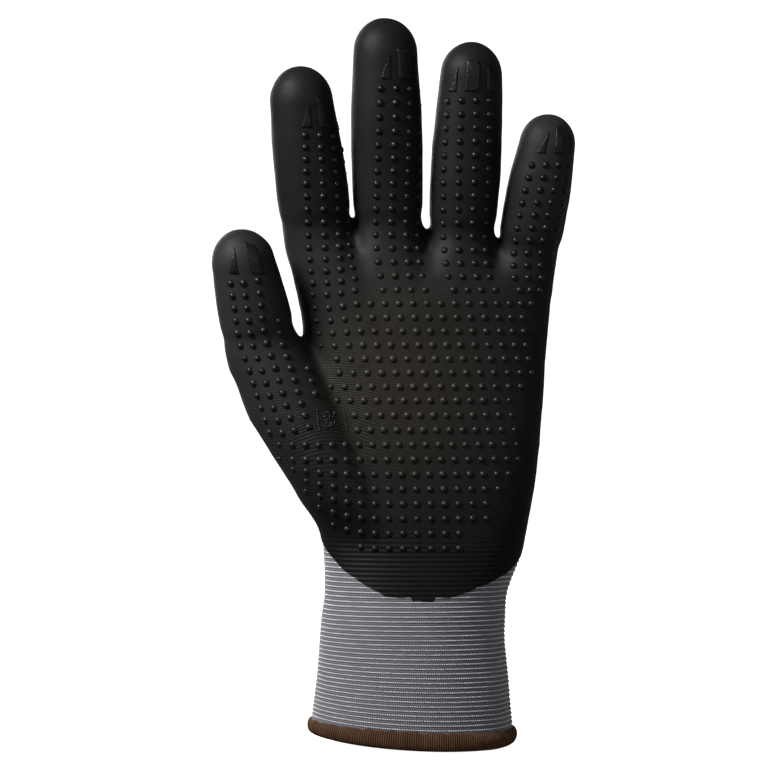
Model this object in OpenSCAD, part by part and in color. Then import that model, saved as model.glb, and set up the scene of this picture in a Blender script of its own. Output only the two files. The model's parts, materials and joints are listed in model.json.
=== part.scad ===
// Left-hand work glove: a seamless knitted liner, dip-coated on the palm side, with a grid of
// raised grip dots, grip patches on the fingertips, an elastic cuff and an overlocked hem.
// The glove stands filled out as if worn: +Z runs along the fingers, the palm faces -Y and the
// thumb is at -X. The origin is the centre of the cuff's opening. Millimetres and degrees.

/* [Cuff] */
// Width of the cuff at its rim
rim_w = 70.6; // [68:0.2:73]
// Depth of the cuff at its rim, palm side to back
rim_d = 50; // [46:1:52]
// Height of the overlocked hem
hem_h = 5.4; // [4:0.2:6.6]
// How far the hem's thread stands proud of the knit
hem_proud = 0.8; // [0.5:0.1:1]
// Height of the narrowest part of the wrist
wrist_z = 41; // [38:1:43]
// Width of the wrist
wrist_w = 63; // [61:0.5:65]
// Height where the ribbed cuff turns into the hand
cuff_top = 50; // [48:0.5:52]
// Number of elastic yarns laid into the cuff
elastic_n = 14; // [8:1:16]
// Thickness of one elastic yarn
elastic_t = 0.5; // [0.4:0.1:0.6]

/* [Hand] */
// Width of the palm just below the fingers
palm_w = 86; // [85:0.5:87]
// Depth of the palm just below the fingers
palm_d = 31; // [30:0.5:33]
// Roundness of the hand's cross-section: 2 is an ellipse, more is squarer
squareness = 2.25; // [2:0.05:2.5]

/* [Fabric] */
// Thickness of the knitted liner
knit_t = 0.9; // [0.7:0.1:1]
// Thickness of the foam coating
coat_t = 0.5; // [0.4:0.1:0.6]
// How far behind the middle plane the coating wraps, as a part of a finger's radius
wrap = 0.38; // [0.2:0.02:0.6]
// Height of the coating's lower edge at the middle of the wrist
coat_start = 50.6; // [50.4:0.2:53]
// How fast that edge rises towards the sides of the wrist, per millimetre squared
coat_rise = 0.0165; // [0.01:0.0005:0.02]

/* [Grip dots] */
// Distance between two dots of the palm's grid
dot_pitch = 4.8; // [4.7:0.05:5.2]
// Radius of a dot at its foot
dot_r = 1.25; // [1:0.05:1.3]
// Height of a dot above the coating
dot_h = 0.8; // [0.5:0.1:1]
// Width of the rectangle on a fingertip
grip_w = 5.2; // [4:0.2:6]
// Height of the rectangle on a fingertip
grip_h = 9; // [7:0.5:9.5]

/* [Fingers] */
// Length of the index finger from its root
index_len = 60.6; // [60:0.1:61.5]
// Length of the middle finger from its root
middle_len = 74.5; // [74:0.1:75.5]
// Length of the ring finger from its root
ring_len = 68.5; // [68:0.1:69.5]
// Length of the little finger from its root
little_len = 49.7; // [49:0.1:50.5]
// Length of the thumb from its root
thumb_len = 46.5; // [46:0.1:47.5]
// Radius of the middle finger past its root
middle_r = 12; // [11.8:0.05:12.1]

/* [Joints] */
// Bend at a finger's root
root_bend = 35; // [25:1:36]
// Bend at a finger's middle knuckle
mid_bend = 50; // [40:1:50]
// Bend at a finger's end knuckle
end_bend = 29; // [20:1:30]
// Bend at the thumb's root
thumb_root_bend = 20; // [12:1:20]
// Bend at the thumb's knuckle
thumb_end_bend = 35; // [25:1:36]
// Distance of each hinge line from the finger's middle, towards the palm
hinge_off = 4; // [3:0.2:5]

/* [Hidden] */
FINGER_NAMES = ["index", "middle", "ring", "little"];

KNIT_GREY = [0.36, 0.35, 0.37];
ELASTIC_GREY = [0.72, 0.71, 0.73];
COAT_BLACK = [0.13, 0.13, 0.13];
DOT_BLACK = [0.05, 0.05, 0.05];
HEM_BROWN = [0.30, 0.18, 0.10];
RIM_SIDES = 36;      // sides of the hand's cross-section
DOME_STEPS = 6;      // steps of a fingertip's dome
SPLIT_GAP = 0.4;     // opening between two pieces at a hinge
BEND_SPARE = 1.5;    // degrees that each knuckle's cut is wider than half its bend
THIN = 0.02;         // thickness of a slice that a hull is drawn between
FAR = 60;            // longer than anything that a cut has to clear
BORE_RUN = 3;        // how far the hollow inside runs past an opening
FIT = 0.05;          // clearance between the hem and the knit that it wraps
CUFF_LOW = 1;        // height of the knit's raw edge inside the hem
ELASTIC_FIT = 0.15;  // clearance between the elastic yarns and the knit round them
DOT_SINK = 0.15;     // how deep a dot's foot sits in the coating
GRIP_T = 0.4;        // thickness of a fingertip patch

// One row per finger: name, root point, turn of its flexing plane, roll about its own axis,
// lean inside that plane, stations of its hinges, length, radii at the root, past the root, at the
// end knuckle and under the dome, bends of its hinges, turn of its prints, height from the end to
// the foot of its grip patches, distance between two rows of its dots
FINGERS = [
    ["index", [-31.6, 0, 172], [13, 0, 0], 0, -6.5, [3.5, 18, 32.5], index_len,
        [11.75, 12.3, 11.9, 10.8], [root_bend, mid_bend, end_bend], 39, 20.5, 4.15],
    ["middle", [-7.7, 0, 174], [11, 0, 0], 0, -1.1, [2, 24, 46], middle_len,
        [11.7, middle_r, 11.9, 10.8], [root_bend, mid_bend, end_bend], 28, 20.5, 4.5],
    ["ring", [17.2, 0, 172], [10.5, 0, 0], 0, 3.05, [1, 22, 42.5], ring_len,
        [11.2, 11.8, 11.4, 10.5], [root_bend, mid_bend, end_bend], 1, 17.5, 4.65],
    ["little", [39.5, 0, 167], [13, 0, 0], 0, 9.6, [0, 14, 27.5], little_len,
        [10.4, 11, 10.7, 9.6], [root_bend, mid_bend, end_bend], 21, 14, 4.35],
    ["thumb", [-49.8, -6, 131.5], [16, -11.6, 0], 25, 0, [6, 22], thumb_len,
        [12.9, 12.4, 12, 10.7], [thumb_root_bend, thumb_end_bend], -22, 14.5, 4.45]
];
function finger(name) = [for (f = FINGERS) if (f[0] == name) f][0];
function root(f) = f[1];
function plane_turn(f) = f[2];
function roll(f) = f[3];
function lean(f) = f[4];
function stations(f) = f[5];
function len_of(f) = f[6];
function radii(f) = f[7];
function bends(f) = f[8];
function dot_turn(f) = f[9];
function patch_foot(f) = len_of(f) - f[10];
function row_pitch(f) = f[11];
function joint_count(f) = len(stations(f));
function dome_start(f) = len_of(f) - 1.1 * radii(f)[3];

// Heights, left and right edges and half depths of the hand's cross-sections, rim to palm
function half(w) = w / 2;
SECTIONS = [
    [0, 0.3 - half(rim_w), 0.3 + half(rim_w), half(rim_d)],
    [8, 1 - half(rim_w), half(rim_w) - 0.6, half(rim_d) - 0.6],
    [22, 0.5 - half(wrist_w) - 1.5, 0.5 + half(wrist_w) + 1.5, 23.4],
    [wrist_z, 0.5 - half(wrist_w), 0.5 + half(wrist_w), 22],
    [53, 1.4 - half(wrist_w), 1.9 + half(wrist_w), 21.3],
    [64, 1.2 - half(wrist_w), 5.9 + half(wrist_w), 20.2],
    [76, -31.4, 40, 19.2],
    [92, -33.4, 42.8, 18.2],
    [112, -35.2, 44.9, 17.4],
    [136, 4.9 - half(palm_w) + 1.5, 4.9 + half(palm_w) - 1.4, 16.4],
    [152, 4.9 - half(palm_w), 4.9 + half(palm_w), half(palm_d)]
];
// Heights, centres, half widths and half depths of the thumb's mound, which grows out of the palm
MOUND = [
    [70, -13, 0, 17, 19.5],
    [90, -25, -1, 16.6, 20],
    [112, -38, -3, 17.6, 18.5]
];

function power(c, n) = sign(c) * pow(abs(c), 2 / n);
function oval(cx, cy, hw, hd, n) = [
    for (i = [0:RIM_SIDES - 1])
        let (a = 360 * i / RIM_SIDES) [cx + hw * power(cos(a), n), cy + hd * power(sin(a), n)]
];
function column(rows, k) = [for (row = rows) [row[0], row[k]]];
function left_at(z) = lookup(z, column(SECTIONS, 1));
function right_at(z) = lookup(z, column(SECTIONS, 2));
function half_depth_at(z) = lookup(z, column(SECTIONS, 3));

// ---- the hand as a solid, shrunk by "inset" all round ----

module slice_at(z, cx, cy, hw, hd, inset, n = squareness) {
    translate([0, 0, z]) linear_extrude(THIN) polygon(oval(cx, cy, hw - inset, hd - inset, n));
}

module section_slice(s, inset) {
    slice_at(s[0], (s[1] + s[2]) / 2, 0, (s[2] - s[1]) / 2, s[3], inset);
}

module mound_slice(m, inset) {
    slice_at(m[0], m[1], m[2], m[3], m[4], inset, 2);
}

module in_finger_plane(f) {
    translate(root(f)) rotate(plane_turn(f)) rotate([0, 0, roll(f)]) children();
}

module on_finger(f) {
    in_finger_plane(f) rotate([0, lean(f), 0]) children();
}

module finger_ring(f, s, inset) {
    on_finger(f) translate([0, 0, s]) linear_extrude(THIN) circle(r = radii(f)[0] - inset, $fn = 32);
}

STUB_SPARE = 1;      // how far a finger's stub runs past its hinge before it is cut
STUB_HALF = 13;      // half width of a finger's stub where it leaves the palm
WEB_DROP = 6;        // how far the webs lie under the hinges
module hand_solid(inset, reach = 0) {
    for (i = [0:len(SECTIONS) - 2]) {
        hull() {
            section_slice(SECTIONS[i], inset);
            section_slice(SECTIONS[i + 1], inset);
        }
    }
    for (i = [0:len(MOUND) - 2]) {
        hull() {
            mound_slice(MOUND[i], inset);
            mound_slice(MOUND[i + 1], inset);
        }
    }
    hull() {
        mound_slice(MOUND[len(MOUND) - 1], inset);
        finger_ring(finger("thumb"), stations(finger("thumb"))[0] + STUB_SPARE + reach, inset);
    }
    top = SECTIONS[len(SECTIONS) - 1];
    for (name = FINGER_NAMES) {
        f = finger(name);
        hull() {
            slice_at(top[0] - 1, clamp_x(root(f)[0], top, STUB_HALF), 0, STUB_HALF, top[3], inset);
            finger_ring(f, stations(f)[0] + STUB_SPARE + reach, inset);
        }
    }
    for (i = [0:len(FINGER_NAMES) - 2]) {
        f = finger(FINGER_NAMES[i]);
        g = finger(FINGER_NAMES[i + 1]);
        hull() {
            slice_at(top[0] - 1, (root(f)[0] + root(g)[0]) / 2, 0, STUB_HALF, top[3], inset);
            finger_ring(f, stations(f)[0] - WEB_DROP - inset, inset);
            finger_ring(g, stations(g)[0] - WEB_DROP - inset, inset);
        }
    }
}
function clamp_x(x, top, hw) = min(max(x, top[1] + hw), top[2] - hw);

// ---- cuts at the hinges, drawn in a finger's flexing plane ----

function station_z(f, j) = stations(f)[j] * cos(lean(f));
function cut_slope(f, j) = tan(bends(f)[j] / 2 + BEND_SPARE);

module plane_prism(points, width) {
    rotate([90, 0, 90]) linear_extrude(width, center = true) polygon(points);
}

// All that lies past hinge j: what the nearer piece has to leave free
module past_hinge(f, j, width = FAR) {
    z = station_z(f, j) - SPLIT_GAP / 2;
    drop = (FAR - hinge_off) * cut_slope(f, j);
    translate([stations(f)[j] * sin(lean(f)), 0, 0])
        plane_prism([[-hinge_off, z], [FAR, z], [FAR, z + FAR], [-FAR, z + FAR], [-FAR, z - drop]], width);
}

// All that lies before hinge j: what the farther piece has to leave free
module before_hinge(f, j, width = FAR) {
    z = station_z(f, j) + SPLIT_GAP / 2;
    rise = (FAR - hinge_off) * cut_slope(f, j);
    translate([stations(f)[j] * sin(lean(f)), 0, 0])
        plane_prism([[-hinge_off, z], [FAR, z], [FAR, z - FAR], [-FAR, z - FAR], [-FAR, z + rise]], width);
}

// The wedge that stays open between the two cuts, a little smaller all round
module hinge_wedge(f, j) {
    z = station_z(f, j);
    spread = (FAR - hinge_off) * cut_slope(f, j) - SPLIT_GAP / 2;
    translate([stations(f)[j] * sin(lean(f)), 0, 0])
        plane_prism([[-hinge_off - SPLIT_GAP, z], [-FAR, z + spread], [-FAR, z - spread]], FAR);
}

// ---- a finger as surfaces of revolution about its own axis ----

function radius_at(f, s) = lookup(s, [
    [0, radii(f)[0]], [14, radii(f)[1]], [stations(f)[joint_count(f) - 1], radii(f)[2]],
    [dome_start(f), radii(f)[3]]
]);
function wall_line(f, inset, s0, s1) = [
    [radius_at(f, s0) - inset, s0],
    for (s = [14, stations(f)[joint_count(f) - 1]]) if (s > s0 && s < s1) [radius_at(f, s) - inset, s],
    [radius_at(f, s1) - inset, s1]
];
function dome_line(f, inset) = [
    for (i = [1:DOME_STEPS])
        let (a = 90 * i / DOME_STEPS, rise = len_of(f) - dome_start(f))
            [i == DOME_STEPS ? 0 : (radii(f)[3] - inset) * cos(a), dome_start(f) + (rise - inset) * sin(a)]
];
function profile(f, inset, s0, s1) = s1 < dome_start(f) ? wall_line(f, inset, s0, s1)
    : concat(wall_line(f, inset, s0, dome_start(f)), dome_line(f, inset));
function reversed(list) = [for (i = [len(list) - 1:-1:0]) list[i]];

module tube(f, outer, inner, s0, s1) {
    rotate_extrude($fn = 48)
        polygon(concat(profile(f, outer, s0, s1), reversed(profile(f, inner, s0, s1))));
}

SPARE = 5;           // a tube's spare length past each cut
// The part of a finger between hinge j and the next one, or the fingertip
module segment(f, j, outer, inner) {
    last = j == joint_count(f) - 1;
    s0 = max(stations(f)[j] - SPARE, -SPARE);
    s1 = last ? len_of(f) : stations(f)[j + 1] + SPARE;
    in_finger_plane(f) difference() {
        rotate([0, lean(f), 0]) tube(f, outer, inner, s0, s1);
        before_hinge(f, j);
        if (!last) {
            past_hinge(f, j + 1);
        }
    }
}

module segment_knit(name, j) {
    color(KNIT_GREY) segment(finger(name), j, coat_t, coat_t + knit_t);
}

// The coating leaves the back of a finger bare, except on the fingertip
DIPPED_TIP = 9;      // length of the fingertip that is coated all round
module segment_coating(name, j) {
    f = finger(name);
    last = j == joint_count(f) - 1;
    bare = last ? len_of(f) - radii(f)[3] - DIPPED_TIP : len_of(f);
    color(COAT_BLACK) difference() {
        segment(f, j, 0, coat_t);
        on_finger(f) translate([-FAR / 2, wrap * radii(f)[1], -FAR / 2]) cube([FAR, FAR, FAR / 2 + bare]);
    }
}

// The creases of knit and coating that fold up when the finger bends
module knuckle_folds(name) {
    f = finger(name);
    color(COAT_BLACK) in_finger_plane(f) {
        for (j = [0:joint_count(f) - 1]) {
            intersection() {
                rotate([0, lean(f), 0])
                    tube(f, 0.05, coat_t + knit_t, stations(f)[j] - 2 * SPARE, stations(f)[j] + 2 * SPARE);
                hinge_wedge(f, j);
            }
        }
    }
}

// ---- grip dots ----

module dot() {
    translate([0, 0, -DOT_SINK]) cylinder(r1 = dot_r, r2 = 0.62 * dot_r, h = dot_h + DOT_SINK, $fn = 24);
}

COLUMN_PITCH = 5.2;  // distance between a finger's columns, round its surface
COLUMNS = [-1.5, -0.5, 0.5, 1.5];
LAST_ANGLE = 62;     // dots farther round a finger than this would touch the next finger
ROW_DROP = 3.1;      // distance of the first row from the foot of the patches
DOT_SPARE = 0.2;     // gap between a dot's foot and a cut
function dot_angle(f, c) = dot_turn(f) + c * COLUMN_PITCH / radii(f)[2] * 180 / PI;
function plane_y(f, s, a) = -radius_at(f, s) * cos(a);
function plane_z(f, s, a) = s * cos(lean(f)) - radius_at(f, s) * sin(a) * sin(lean(f));
function half_cut(f, j, y) =
    SPLIT_GAP / 2 + max(0, -hinge_off - y) * cut_slope(f, j) + dot_r + DOT_SPARE;
function clear_after(f, j, s, a) =
    plane_z(f, s, a) > station_z(f, j) + half_cut(f, j, plane_y(f, s, a));
function clear_before(f, j, s, a) =
    j >= joint_count(f) || plane_z(f, s, a) < station_z(f, j) - half_cut(f, j, plane_y(f, s, a));

module segment_dots(name, j) {
    f = finger(name);
    first_row = patch_foot(f) - ROW_DROP;
    color(DOT_BLACK) on_finger(f) {
        for (row = [0:floor(first_row / row_pitch(f))]) {
            for (c = COLUMNS) {
                s = first_row - row * row_pitch(f);
                a = dot_angle(f, c);
                if (abs(a) < LAST_ANGLE && clear_after(f, j, s, a) && clear_before(f, j + 1, s, a)) {
                    translate([radius_at(f, s) * sin(a), -radius_at(f, s) * cos(a), s]) rotate([90, 0, a]) dot();
                }
            }
        }
    }
}

// The front face of the palm and of the thumb's mound at x and z, and its slope there
function bulge(x, cx, hw, hd, n) = hd * pow(max(0, 1 - pow(abs((x - cx) / hw), n)), 1 / n);
function palm_y(x, z) = -bulge(x, (left_at(z) + right_at(z)) / 2, (right_at(z) - left_at(z)) / 2,
    half_depth_at(z), squareness);
THUMB_ROOT_Z = 137;  // height of the thumb's hinge
MOUND_TO_THUMB = concat(MOUND, [[THUMB_ROOT_Z, -51, -7.6, 13, 13.4]]);
function mound_y(x, z) = lookup(z, column(MOUND_TO_THUMB, 2))
    - bulge(x, lookup(z, column(MOUND_TO_THUMB, 1)), lookup(z, column(MOUND_TO_THUMB, 3)),
        lookup(z, column(MOUND_TO_THUMB, 4)), 2);
function front_y(x, z) = min(palm_y(x, z), mound_y(x, z));
function front_turn(x, z) = atan2(front_y(x + 0.5, z) - front_y(x - 0.5, z), 1);
function edge_z(x) = coat_start + coat_rise * (x - 3) * (x - 3);

module hand_dot(x, z) {
    translate([x, front_y(x, z), z]) rotate([90, 0, front_turn(x, z)]) dot();
}

GRID_LEFT = -42.8;   // first column of the palm's grid
GRID_RIGHT = 41;
GRID_TOP = 150.5;    // highest row of the palm's grid
GRID_LOW = 66;       // lowest row of the palm's grid
MOUND_TOP = 103;     // up to this height the grid runs on over the thumb's mound
MOUND_EDGE = -24;    // above it, the grid starts here and leaves a bare stretch beside the thumb
THUMB_ROWS = 6;      // rows of dots that follow the thumb's side down the mound
THUMB_ROW_TOP = 129;
THUMB_COLUMN = 4.7;  // distance between those rows' columns
function thumb_column_x(z) = let (d = THUMB_ROOT_Z - z) -57.5 + 0.2 * d + 0.004 * d * d;

module hand_dots() {
    color(DOT_BLACK) {
        for (z = [GRID_TOP:-dot_pitch:GRID_LOW]) {
            for (x = [GRID_LEFT:dot_pitch:GRID_RIGHT]) {
                covered = z < MOUND_TOP || x > MOUND_EDGE;
                if (covered && front_y(x, z) < -0.5 * half_depth_at(z) && z > edge_z(x) + 8) {
                    hand_dot(x, z);
                }
            }
        }
        for (row = [0:THUMB_ROWS - 1]) {
            z = THUMB_ROW_TOP - row * row_pitch(finger("thumb"));
            for (c = [0:3]) {
                hand_dot(thumb_column_x(z) + c * THUMB_COLUMN, z);
            }
        }
    }
}

// ---- fingertip patches: a rectangle between two right-angled triangles ----

GRIP_GAP = 2.2;      // gap between the rectangle and a triangle
GRIP_SIDE = 3.8;     // width of a triangle's foot
GRIP_PEAK = 7.5;     // height of a triangle
module tip_grips(name) {
    f = finger(name);
    foot = patch_foot(f);
    inner = grip_w / 2 + GRIP_GAP;
    color(DOT_BLACK) on_finger(f) intersection() {
        tube(f, -GRIP_T, 0, foot - SPARE, len_of(f));
        rotate([0, 0, dot_turn(f)]) rotate([90, 0, 0]) linear_extrude(FAR) {
            translate([-grip_w / 2, foot]) square([grip_w, grip_h]);
            for (side = [0, 1]) {
                mirror([side, 0])
                    polygon([[inner, foot], [inner + GRIP_SIDE, foot], [inner, foot + GRIP_PEAK]]);
            }
        }
    }
}

// ---- the hand's own nodes ----

module below(z) {
    translate([-2 * FAR, -2 * FAR, z - 4 * FAR]) cube([4 * FAR, 4 * FAR, 4 * FAR]);
}

module above(z) {
    translate([-2 * FAR, -2 * FAR, z]) cube([4 * FAR, 4 * FAR, 4 * FAR]);
}

module cuff_knit() {
    color(KNIT_GREY) difference() {
        hand_solid(0);
        hand_solid(knit_t, BORE_RUN);
        below(CUFF_LOW);
        above(cuff_top);
    }
}

module cuff_elastic() {
    color(ELASTIC_GREY) for (i = [0:elastic_n - 1]) {
        z = hem_h + 3 + i * (cuff_top - hem_h - 5) / (elastic_n - 1);
        cx = (left_at(z) + right_at(z)) / 2;
        hw = (right_at(z) - left_at(z)) / 2 - knit_t - ELASTIC_FIT;
        hd = half_depth_at(z) - knit_t - ELASTIC_FIT;
        translate([0, 0, z]) linear_extrude(elastic_t) difference() {
            polygon(oval(cx, 0, hw, hd, squareness));
            polygon(oval(cx, 0, hw - elastic_t, hd - elastic_t, squareness));
        }
    }
}

// The hem's thread wraps the knit's raw edge on both sides and underneath
module hem_overlock() {
    color(HEM_BROWN) difference() {
        hand_solid(-hem_proud);
        hand_solid(knit_t + hem_proud, BORE_RUN);
        difference() {
            hand_solid(-FIT);
            hand_solid(knit_t + FIT, BORE_RUN);
            below(CUFF_LOW - FIT);
        }
        above(hem_h);
    }
}

module finger_cuts() {
    for (f = FINGERS) {
        in_finger_plane(f) past_hinge(f, 0, 2 * radii(f)[0] + 0.7);
    }
}

module hand_knit() {
    color(KNIT_GREY) difference() {
        hand_solid(coat_t);
        hand_solid(coat_t + knit_t, BORE_RUN);
        below(cuff_top);
        finger_cuts();
    }
}

EDGE_STEPS = 16;     // steps of the coating's curved lower edge
module coated_side() {
    lower = [for (i = [0:EDGE_STEPS]) let (x = -FAR + 2 * FAR * i / EDGE_STEPS) [x, edge_z(x)]];
    translate([0, wrap * radii(finger("index"))[1], 0]) rotate([90, 0, 0])
        linear_extrude(FAR) polygon(concat(lower, [[FAR, 4 * FAR], [-2 * FAR, 4 * FAR], [-2 * FAR, edge_z(-FAR)]]));
}

module hand_coating() {
    color(COAT_BLACK) difference() {
        intersection() {
            hand_solid(0);
            coated_side();
        }
        hand_solid(coat_t, BORE_RUN);
        finger_cuts();
    }
}

cuff_knit();
cuff_elastic();
hem_overlock();
hand_knit();
hand_coating();
hand_dots();
segment_knit("index", 0);  // index_base_knit
segment_coating("index", 0);  // index_base_coating
segment_dots("index", 0);  // index_base_dots
segment_knit("index", 1);  // index_mid_knit
segment_coating("index", 1);  // index_mid_coating
segment_dots("index", 1);  // index_mid_dots
segment_knit("index", 2);  // index_tip_knit
segment_coating("index", 2);  // index_tip_coating
segment_dots("index", 2);  // index_tip_dots
tip_grips("index");  // index_tip_grips
knuckle_folds("index");  // index_knuckle_folds
segment_knit("middle", 0);  // middle_base_knit
segment_coating("middle", 0);  // middle_base_coating
segment_dots("middle", 0);  // middle_base_dots
segment_knit("middle", 1);  // middle_mid_knit
segment_coating("middle", 1);  // middle_mid_coating
segment_dots("middle", 1);  // middle_mid_dots
segment_knit("middle", 2);  // middle_tip_knit
segment_coating("middle", 2);  // middle_tip_coating
segment_dots("middle", 2);  // middle_tip_dots
tip_grips("middle");  // middle_tip_grips
knuckle_folds("middle");  // middle_knuckle_folds
segment_knit("ring", 0);  // ring_base_knit
segment_coating("ring", 0);  // ring_base_coating
segment_dots("ring", 0);  // ring_base_dots
segment_knit("ring", 1);  // ring_mid_knit
segment_coating("ring", 1);  // ring_mid_coating
segment_dots("ring", 1);  // ring_mid_dots
segment_knit("ring", 2);  // ring_tip_knit
segment_coating("ring", 2);  // ring_tip_coating
segment_dots("ring", 2);  // ring_tip_dots
tip_grips("ring");  // ring_tip_grips
knuckle_folds("ring");  // ring_knuckle_folds
segment_knit("little", 0);  // little_base_knit
segment_coating("little", 0);  // little_base_coating
segment_dots("little", 0);  // little_base_dots
segment_knit("little", 1);  // little_mid_knit
segment_coating("little", 1);  // little_mid_coating
segment_dots("little", 1);  // little_mid_dots
segment_knit("little", 2);  // little_tip_knit
segment_coating("little", 2);  // little_tip_coating
segment_dots("little", 2);  // little_tip_dots
tip_grips("little");  // little_tip_grips
knuckle_folds("little");  // little_knuckle_folds
segment_knit("thumb", 0);  // thumb_base_knit
segment_coating("thumb", 0);  // thumb_base_coating
segment_dots("thumb", 0);  // thumb_base_dots
segment_knit("thumb", 1);  // thumb_tip_knit
segment_coating("thumb", 1);  // thumb_tip_coating
segment_dots("thumb", 1);  // thumb_tip_dots
tip_grips("thumb");  // thumb_tip_grips
knuckle_folds("thumb");  // thumb_knuckle_folds
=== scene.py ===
"""A left-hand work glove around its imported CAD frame.

It has a knitted liner, a foam coating, grip dots and patches, a ribbed cuff with light inlaid yarns, and
a brown overlocked hem. Lengths are in millimetres until a mesh is made, and in metres in materials."""

import json
import math

import bmesh
import bpy
import numpy as np
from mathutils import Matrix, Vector, noise
from mathutils.bvhtree import BVHTree


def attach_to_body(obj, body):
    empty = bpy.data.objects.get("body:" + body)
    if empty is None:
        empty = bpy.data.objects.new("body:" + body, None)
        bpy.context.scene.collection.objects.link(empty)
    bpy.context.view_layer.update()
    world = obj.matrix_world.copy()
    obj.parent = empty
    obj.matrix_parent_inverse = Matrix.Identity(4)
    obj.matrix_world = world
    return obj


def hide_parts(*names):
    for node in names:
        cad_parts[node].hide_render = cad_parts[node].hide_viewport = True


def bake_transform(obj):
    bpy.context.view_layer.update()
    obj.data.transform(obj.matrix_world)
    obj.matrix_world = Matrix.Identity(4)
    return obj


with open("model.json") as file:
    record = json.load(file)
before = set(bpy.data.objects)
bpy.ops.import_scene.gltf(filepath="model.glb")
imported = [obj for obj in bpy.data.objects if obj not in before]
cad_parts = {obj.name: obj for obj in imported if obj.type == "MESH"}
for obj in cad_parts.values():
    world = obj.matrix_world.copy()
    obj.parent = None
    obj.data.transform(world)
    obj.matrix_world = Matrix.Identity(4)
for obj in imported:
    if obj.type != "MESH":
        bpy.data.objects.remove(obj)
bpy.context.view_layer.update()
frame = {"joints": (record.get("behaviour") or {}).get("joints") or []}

MM = 0.001
PI2 = 2 * math.pi
ROW = ["index", "middle", "ring", "little"]
DIGITS = ROW + ["thumb"]

# ---- sizes of the glove ----

SQUARENESS = 2.25        # exponent of the hand's oval sections: 2 is an ellipse
# Height, left edge, right edge and half depth of the hand's sections, from the rim to the palm
SECTIONS = np.array([
    [-6, -34.7, 35.4, 25.2], [0, -34.5, 35.2, 25], [8, -33.8, 34.4, 24.4], [22, -32.3, 33.3, 23.4],
    [41, -31, 32, 22], [53, -30.1, 33.4, 21.3], [64, -30.3, 37.4, 20.2], [76, -31.4, 40, 19.2],
    [92, -33.4, 42.8, 18.2], [112, -35.2, 44.9, 17.4], [136, -36.6, 46.5, 16.4], [152, -38.1, 47.9, 15.5],
    [160, -38.6, 48.2, 13.5],
])
# Height, centre x, centre y, half width and half depth of the thumb's mound
MOUND = [[70, -13, 0, 17, 19.5], [90, -25, -1, 16.6, 20], [112, -38, -3, 17.6, 18.5]]
HINGE_OFF = 4.0          # hinge lines lie this far from a finger's middle, towards the palm
PALM_TOP = 146.0         # the fingers' roots grow out of the palm from here
ROOT_HALF = 13.0         # half width of a finger's root there
THINNED = 1.5            # taken off the fingers' radii while the skin is drawn, and given back after
WEB_DROP = 6.0           # how far the webs lie under the first hinges

# For each finger: station of its first hinge, length, and radii at the root, past the root, at the
# end knuckle and under the dome
SPEC = {
    "index": dict(first=3.5, length=60.6, radii=[11.75, 12.3, 11.9, 10.8]),
    "middle": dict(first=2, length=74.5, radii=[11.7, 12, 11.9, 10.8]),
    "ring": dict(first=1, length=68.5, radii=[11.2, 11.8, 11.4, 10.5]),
    "little": dict(first=0, length=49.7, radii=[10.4, 11, 10.7, 9.6]),
    "thumb": dict(first=6, length=46.5, radii=[12.9, 12.4, 12, 10.7]),
}
# The prints on each finger, seen from the front: height of its highest row of dots, number of rows
# above the palm's, offset of its first column from its axis at some heights; height of the foot of
# its grip patches, turn of the middle one, gap beside it, and size of the patches
PRINTS = {
    "index": dict(top=206.9, rows=13, first=[(155, -3.1), (167, -3.3), (183, -2.3), (207, 0)],
                  foot=209.6, turn=40, gap=3.2, size=1),
    "middle": dict(top=222.5, rows=15, first=[(155, -2.2), (168, -4.1), (195, -3.5), (222, -1.7)],
                   foot=225.7, turn=35, gap=3.2, size=1),
    "ring": dict(top=218.6, rows=14, first=[(155, -2.8), (160, -4.2), (192, -7.4), (219, -7.6)],
                 foot=221.7, turn=1.5, gap=3.2, size=1),
    "little": dict(top=197.2, rows=10, first=[(155, -1.8), (160, -3.5), (180, -5.3), (197, -4.3)],
                   foot=201.1, turn=25, gap=3.3, size=0.85),
    "thumb": dict(foot=160.3, turn=24.5, gap=4.8, size=1),
}
PAST_ROOT = 14.0         # station of the second radius
DOME = 1.1               # height of a fingertip's dome over its radius
START_DROP = 3.5         # a finger starts to bend this far before its first hinge
PLAIN_FROM, PLAIN_TO = 2, 9    # past its first hinge a finger turns into a plain round between these

KNIT_T = 0.9             # thickness of the knit
COAT_T = 0.45            # thickness of the coating
WRAP = 4.6               # how far the coating wraps behind a finger's middle plane
DIPPED_TIP = 9.0         # length below the dome that is dipped all round
VOXEL = 1.1              # size of a face of the skin
RELAXED, EASED = 14, 2   # times that the skin is relaxed before and after it takes its exact shape
NEAR = 1.5               # only points this near a finger's surface take its shape
SHRUNK = 0.94            # and only where that shrinks them no more than this
OVAL_TO, OVAL_END = 66, 84     # the skin is exactly oval up to the first, and free of it at the second
SKIN_FOOT = 46.0         # the skin is used from this height on
COURSE = 1.6             # distance between two light yarns of the cuff
WALES = 210              # dashes of a light yarn round the cuff
RIB_TOP = 77.0           # the ribbed knit ends here, under the coating in front
FACES_FRONT = -0.2       # a dot is printed only where the skin's y direction is below this

joints = {j["name"]: j for j in frame["joints"]}


def smooth(t):
    t = np.clip(t, 0, 1)
    return t * t * (3 - 2 * t)


def ramp(value, start, end):
    return smooth((np.asarray(value, float) - start) / (end - start))


def unit(v):
    v = np.asarray(v, float)
    return v / np.linalg.norm(v, axis=-1, keepdims=True)


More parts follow.
